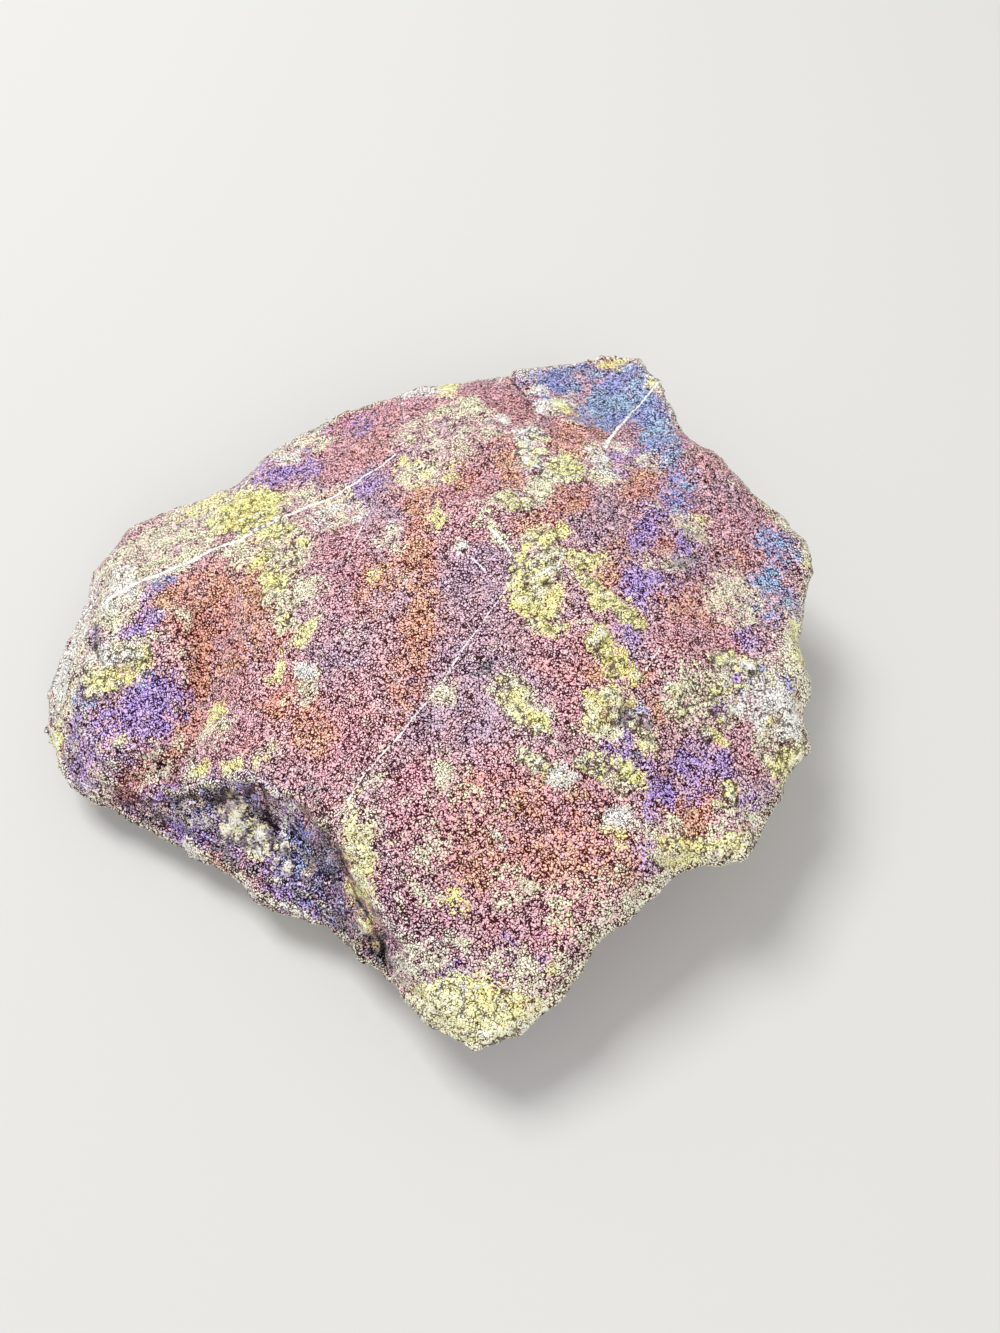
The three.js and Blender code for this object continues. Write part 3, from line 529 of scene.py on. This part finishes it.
# How much a point belongs to the bedding, how pale its streaks are, and its place along and across
bedded = np.zeros(len(at))
paleness = np.zeros(len(at))
across = np.zeros(len(at))
along = np.zeros(len(at))
for line, reach, _, _, pale in BEDDING:
    off, run = side_of(line, x, y)
    near = near_bedding(off, run, reach)
    length = sum(math.dist(a, b) for a, b in zip(line, line[1:]))
    stronger = near > bedded
    across = np.where(stronger, off, across)
    along = np.where(stronger, run * length, along)
    paleness = np.where(stronger, pale, paleness)
    bedded = np.maximum(bedded, near)
bedded *= 1 - eased(out[:, 2], 0.93, 0.985)
keep("bedded", bedded)
keep("paleness", bedded * paleness)
keep("across", across + BEDDING_WAVE * wavy)
keep("along", along)

# Crests and broad rises get a painted highlight, paler than the faces beside them, and the hollows
# painted shade
CREST_HEIGHT = 0.06          # mm by which a small crest stands out from what is close to it
RISE_HEIGHT = 0.45           # mm by which a broad rise stands out from what is farther round it
edge_ends = np.empty(len(stone.data.edges) * 2, int)
stone.data.edges.foreach_get("vertices", edge_ends)
one_end, other_end = edge_ends.reshape(-1, 2).T
joined = np.bincount(one_end, minlength=len(at)) + np.bincount(other_end, minlength=len(at))


def averaged(values, rounds):
    """For each point the mean of its neighbours' values, taken again and again."""
    for _ in range(rounds):
        values = (np.bincount(one_end, values[other_end], len(at))
                  + np.bincount(other_end, values[one_end], len(at))) / joined
    return values


def standing_out(rounds):
    """How many mm each point stands out from the smoothed stone."""
    smooth = np.stack([averaged(at[:, axis], rounds) for axis in range(3)], axis=1)
    return ((at - smooth) * out).sum(1)


keep("crest", np.clip(averaged(standing_out(3), 2) / CREST_HEIGHT, -1, 1))
keep("rise", np.clip(averaged(standing_out(60), 3) / RISE_HEIGHT, -1, 1))

# The outline's rim, where the broad face turns over into the sides, is rubbed down to pale stone and
# carries a painted highlight along the edge
slope = averaged(out[:, 2], 4)
keep("rim", eased(slope, -0.35, 0.05) * (1 - eased(slope, 0.45, 0.80)) * (1 - bedded))

# The finish: the patches, veins, rubbed rim, painted highlights and painted shade above laid over each
# other, in crystal grains
ore = bpy.data.materials.new("tarnished_ore")
ore.use_nodes = True
nodes = ore.node_tree.nodes
nodes.clear()


class Wire:
    """One output of a node. Sums on wires add their Math nodes."""

    def __init__(self, socket):
        self.socket = socket

    def __add__(self, other):
        return math_node("ADD", self, other)

    def __sub__(self, other):
        return math_node("SUBTRACT", self, other)

    def __mul__(self, other):
        return math_node("MULTIPLY", self, other)

    def __rsub__(self, other):
        return math_node("SUBTRACT", other, self)

    __radd__ = __add__
    __rmul__ = __mul__

    def rise(self, start, end):
        """0 below start, 1 above end and a soft rise between them."""
        return node("ShaderNodeMapRange", {"interpolation_type": "SMOOTHSTEP"},
                    {"Value": self, "From Min": start, "From Max": end})

    def beside(self, name):
        """Another output of the same node."""
        return Wire(self.socket.node.outputs[name])


def node(kind, settings, inputs, output=0):
    """Adds a node with its settings and its sockets, and gives a wire from one of its outputs."""
    made = nodes.new(kind)
    for name, value in settings.items():
        setattr(made, name, value)
    for name, value in inputs.items():
        if isinstance(value, Wire):
            ore.node_tree.links.new(value.socket, made.inputs[name])
        else:
            made.inputs[name].default_value = value
    return Wire(made.outputs[output])


def math_node(operation, first, second=0.0):
    """One sum on two wires or numbers."""
    return node("ShaderNodeMath", {"operation": operation}, {0: first, 1: second})


def mixed(share, first, second, **settings):
    """Two colours through a Mix node, which has them on sockets 6 and 7 and gives output 2."""
    return node("ShaderNodeMix", {"data_type": "RGBA", **settings}, {0: share, 6: first, 7: second}, 2)


def blended(share, first, second):
    """The first colour where share is 0, and the second where it is 1."""
    return mixed(share, first, second)


def tinted(colour, other, **settings):
    """One colour times another."""
    return mixed(1.0, colour, other, blend_type="MULTIPLY", **settings)


def paint(*shown):
    """A colour of light from the red, green and blue, up to 255, that a screen shows it with."""
    return (*(((c / 255 + 0.055) / 1.055) ** 2.4 if c > 10 else c / 3295 for c in shown), 1.0)


spot = node("ShaderNodeTexCoord", {}, {}, "Object")
in_mm = node("ShaderNodeVectorMath", {"operation": "SCALE"}, {0: spot, "Scale": 1 / MM})


def lumps_of(size, seed, detail=2.0, rough=0.55):
    """Noise with lumps of this size in mm, about 0.5."""
    shifted = node("ShaderNodeVectorMath", {"operation": "ADD"},
                   {0: in_mm, 1: (seed * 13.7, seed * 5.9, seed * 9.1)})
    return node("ShaderNodeTexNoise", {}, {"Vector": shifted, "Scale": 1 / size, "Detail": detail,
                                           "Roughness": rough})


def kept(name):
    """What the stone keeps under this name in each point."""
    return node("ShaderNodeAttribute", {"attribute_name": name}, {}, "Fac")


def into_line(name):
    """How many mm a place is inside a vein, crack or trough."""
    return kept(name + "_wide") - math_node("ABSOLUTE", kept(name + "_off"))


# Crystals: grains like coarse sugar, each with a brightness and a colour of its own, and dark seams.
# Their bright middles carry painted glints and their seams painted shade.
CRYSTAL = 0.18               # mm across
CRYSTAL_BEND = 0.36          # mm by which the grains' straight edges are pushed about
BENDS_IN_A_MM = 3.6
bend = node("ShaderNodeTexNoise", {}, {"Vector": in_mm, "Scale": BENDS_IN_A_MM, "Detail": 2.0}, "Color")
bent = node("ShaderNodeVectorMath", {"operation": "MULTIPLY_ADD"},
            {0: bend, 1: (CRYSTAL_BEND,) * 3, 2: in_mm})
grains = {"Vector": bent, "Scale": 1 / CRYSTAL}
edge = node("ShaderNodeTexVoronoi", {"feature": "DISTANCE_TO_EDGE"}, grains, "Distance")
grain = node("ShaderNodeTexVoronoi", {}, grains, "Color")
luck = node("ShaderNodeSeparateColor", {}, {"Color": grain}, "Red")
hue_luck = luck.beside("Green")
fine = lumps_of(0.13, 41, 1.0)
mottle = lumps_of(0.9, 42, 2.0)

# Ragged edges of the patches, in mm. The crusts, with the fourth one, end in rounder lobes.
wandering = [(lumps_of(2.0, seed, 4.0, 0.85) - 0.5) * 5.0 + (hue_luck - 0.5) * 0.8
             for seed in (1, 2, 3)]
wandering.append((lumps_of(1.1, 4, 2.0, 0.6) - 0.5) * 2.0 + wandering[0] * 0.6)

# The round bodies of the nodules, parted by seams
in_body = kept("nodule") + (lumps_of(0.4, 44, 2.0) - 0.5) * 1.1
body = in_body.rise(0.0, 0.14)

# Colours of the tarnish, each in two tones that drift into each other over a few millimetres; the dark
# one is partly painted shade
TONES = {
    "mauve": (paint(172, 114, 128), paint(160, 110, 134)),
    "plum": (paint(150, 102, 136), paint(132, 92, 134)),
    "rose": (paint(182, 98, 122), paint(182, 96, 106)),
    "copper": (paint(204, 90, 68), paint(208, 118, 62)),
    "violet": (paint(120, 72, 190), paint(142, 96, 182)),
    "blue": (paint(72, 94, 210), paint(98, 146, 230)),
    "cream": (paint(196, 184, 140), paint(180, 166, 138)),
    "yellow": (paint(226, 207, 116), paint(216, 181, 88)),
    "white": (paint(212, 210, 196), paint(194, 194, 190)),
    "dark": (paint(54, 38, 88), paint(64, 44, 66)),
}
# Shares of red, green and blue that tint what they lie on: the films, then painted shade in the trough,
# the hollows and the grain's seams, and the painted light of the grain
BLUSH = (1.0, 0.52, 0.86, 1.0)
DARK_BEDDING = (0.24, 0.16, 0.32, 1.0)
SUNK_BEDDING = (1.12, 0.72, 1.30, 1.0)
ORANGE_TROUGH_SHADE = (0.66, 0.42, 0.27, 1.0)
RECESS_SHADE = (0.44, 0.34, 0.46, 1.0)
GRAIN_SHADE = (0.10, 0.035, 0.042, 1.0)
CRUST_SHADE = (0.24, 0.20, 0.13, 1.0)
GRAIN_LIGHT = (2.3, 2.3, 2.3, 1.0)
# Colours of bare and rubbed stone, of painted highlights on crests, rises, rim and glints, and of veins
# and seams
PALE_BEDDING = paint(238, 234, 208)
CREST_HIGHLIGHT = paint(230, 216, 172)
RUBBED_AND_LIT_RIM = paint(238, 212, 150)
RISE_HIGHLIGHT = paint(226, 210, 180)
VEIN_WHITE = paint(222, 220, 214)
GLINT = paint(255, 250, 242)
NODULE_SEAM = paint(66, 50, 42)
# The order the colours lie in, which ragged edge each has, and how soft its edge is in mm
LAYERS = [("plum", 0, 0.8), ("rose", 1, 0.8), ("copper", 2, 0.6), ("violet", 0, 0.45), ("blue", 1, 0.45),
          ("cream", 2, 0.35), ("yellow", 3, 0.35), ("white", 3, 0.4), ("dark", 2, 0.4)]
# How much of the nodules these two cover, also outside their patches
BODY_SHARE = {"cream": 0.65, "yellow": lumps_of(1.4, 47, 1.0).rise(0.49, 0.58)}
drift = lumps_of(2.6, 31, 2.0).rise(0.38, 0.62)
colour = blended(drift, *TONES["mauve"])
covers = {}
for name, ragged, soft in LAYERS:
    covers[name] = (kept(name) + wandering[ragged]).rise(-soft, soft)
    if name in BODY_SHARE:
        covers[name] = math_node("MAXIMUM", covers[name], BODY_SHARE[name] * body)
    colour = blended(covers[name], colour, blended(drift, *TONES[name]))
blush = lumps_of(1.2, 51, 2.0).rise(0.52, 0.66)
colour = blended(blush * 0.4, colour, tinted(colour, BLUSH))
crusted = math_node("MAXIMUM", covers["yellow"], covers["white"])
stony = math_node("MAXIMUM", covers["cream"], crusted)

# Bedding shows as dark and pale streaks, and is more violet where it is sunk
streaks_at = node("ShaderNodeCombineXYZ", {}, {"X": kept("across") * 2.6, "Y": kept("along") * 0.5})
streak = node("ShaderNodeTexNoise", {}, {"Vector": streaks_at, "Scale": 1.0, "Detail": 2.0})
bedded = kept("bedded")
streaked = bedded * streak.rise(0.53, 0.62) * (0.75 - crusted * 0.75)
colour = blended(streaked, colour, tinted(colour, DARK_BEDDING))
sunk = bedded - kept("paleness")
colour = blended(sunk * (0.8 - stony * 0.8), colour, tinted(colour, SUNK_BEDDING))
colour = blended(kept("paleness") * (1 - streak).rise(0.54, 0.63), colour, PALE_BEDDING)

# Veins, painted highlight on crests and rises, the rubbed rim with its painted highlight, and painted
# shade in the trough and the deeper places
deep = (0 - kept("rise")).rise(0.10, 0.75)
vein = (into_line("vein") + (lumps_of(0.5, 33) - 0.5) * 0.16).rise(-0.05, 0.03)
crest_lit = (kept("crest") + (lumps_of(0.5, 34) - 0.5) * 1.2).rise(0.25, 0.9)
colour = blended(crest_lit * 0.55, colour, CREST_HIGHLIGHT)
rubbed_and_lit = kept("rim") * (lumps_of(0.7, 35) + 0.2).rise(0.45, 0.85)
colour = blended(rubbed_and_lit * 0.75, colour, RUBBED_AND_LIT_RIM)
# Painted shade in the trough, with an orange-brown tone
trough = (into_line("trough") + wandering[1] * 0.3).rise(-0.35, 0.3)
colour = blended(trough * (0.7 - stony * 0.5), colour, tinted(colour, ORANGE_TROUGH_SHADE))
colour = blended(deep * (0.2 + bedded * 0.2 - stony * 0.4), colour, tinted(colour, RECESS_SHADE))
lit_rise = kept("rise").rise(0.15, 0.8)
colour = blended(lit_rise * 0.22, colour, RISE_HIGHLIGHT)

# The grain itself: bright in the middle of a crystal, dark in the seams, as painted light and painted
# shade, with painted glints on the brightest
colour = blended(vein * 0.7, colour, VEIN_WHITE)
# Painted shade: the grain is darker in the deep, sunk bedding of the hollow, though not on its nodules
# and crusts
gloom = deep * bedded
light = edge.rise(0.04, 0.34 - stony * 0.12) * (0.84 - body * 0.1) + body * 0.03
light = light + luck * 0.50 + (fine - 0.5) * 1.3 + (mottle - 0.5) * 0.35
light = light + vein * 0.35 + stony * 0.04 + crusted * 0.06 - gloom * (0.5 - stony * 0.5) - 0.01
light = light + sunk * (body * 0.34 - (1 - stony) * 0.11)
shade = tinted(colour, GRAIN_SHADE)
shade = blended(stony * (0.45 - gloom * 0.45), shade, tinted(colour, CRUST_SHADE))
bright = tinted(colour, GRAIN_LIGHT, clamp_result=True)
tip = blended(0.47 - covers["yellow"] * 0.18, bright, GLINT)
colour = blended((1 - light).rise(0.54, 0.68), colour, shade)
colour = blended(light.rise(0.38, 0.60), colour, tip)

# Dark seams round the nodules, and painted shade in the open cracks
seam = (1 - math_node("ABSOLUTE", in_body).rise(0.02, 0.11)) * lumps_of(1.2, 45, 1.0).rise(0.36, 0.50)
colour = blended(seam * 0.85, colour, NODULE_SEAM)
crack = (into_line("crack") + (lumps_of(0.5, 46, 2.0) - 0.5) * 0.5).rise(-0.08, 0.08)
colour = blended(crack * 0.7, colour, shade)

# The surface: half matt, a little metal where it is no crust, and each crystal slightly raised
GRAIN_HEIGHT = 0.09 * MM
roughness = 0.50 + (light - 0.5) * 0.3 + stony * 0.14
metal = (1 - stony) * 0.15
grain_relief = edge.rise(0.0, 0.35) * 0.6 + luck * 0.4 + (mottle - 0.5) * 0.8 - crack
bump = node("ShaderNodeBump", {},
            {"Strength": 0.8, "Distance": GRAIN_HEIGHT, "Height": grain_relief})
surface = node("ShaderNodeBsdfPrincipled", {},
               {"Base Color": colour, "Roughness": roughness, "Metallic": metal, "Normal": bump,
                "IOR": 1.6, "Specular IOR Level": 0.08})
finish = nodes.new("ShaderNodeOutputMaterial")
ore.node_tree.links.new(surface.socket, finish.inputs["Surface"])
stone.data.materials.clear()
stone.data.materials.append(ore)
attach(stone, "root")
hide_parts("ore_stone")

# ------------------------------------------------------------------------------------------------
# The studio: a pale table, a soft lamp above and behind on the left, a wider and weaker one in
# front, and a light room. The camera looks down at the broad face, 33 degrees off the upright.
# ------------------------------------------------------------------------------------------------
TABLE = 1.6                  # metres to a side
STONE_MIDDLE = Vector((0, 0, 0.005))
ROOM_LIGHT = 0.52
CAMERA_PLACE = (0.00502, -0.04195, 0.06901)
CAMERA_TILT = math.radians(33)

bpy.ops.mesh.primitive_plane_add(size=TABLE, location=(0, 0, 0))
table = bpy.context.active_object
table.name = "table"
card = bpy.data.materials.new("pale_card")
card.use_nodes = True
card.node_tree.nodes["Principled BSDF"].inputs["Base Color"].default_value = paint(205, 204, 201)
card.node_tree.nodes["Principled BSDF"].inputs["Roughness"].default_value = 0.8
table.data.materials.append(card)

# Lamps: their place, width in metres and power in watts
LAMPS = [("lamp", (-0.20, 0.20, 0.46), 0.22, 2.2), ("fill", (0.10, -0.45, 0.40), 0.40, 1.3)]
for name, place, size, power in LAMPS:
    bpy.ops.object.light_add(type="AREA", location=place)
    lamp = bpy.context.active_object
    lamp.name = name
    lamp.data.size = size
    lamp.data.energy = power
    lamp.rotation_euler = (STONE_MIDDLE - Vector(place)).to_track_quat("-Z", "Y").to_euler()

room = bpy.data.worlds.new("room")
room.use_nodes = True
room.node_tree.nodes["Background"].inputs["Color"].default_value = (1.0, 1.0, 1.0, 1.0)
room.node_tree.nodes["Background"].inputs["Strength"].default_value = ROOM_LIGHT
bpy.context.scene.world = room
bpy.context.scene.view_settings.view_transform = "Standard"

bpy.ops.object.camera_add(location=CAMERA_PLACE, rotation=(CAMERA_TILT, 0, 0))
camera = bpy.context.active_object
camera.data.lens = 29.7
camera.data.sensor_width = 36
camera.data.clip_start = 0.001
bpy.context.scene.camera = camera
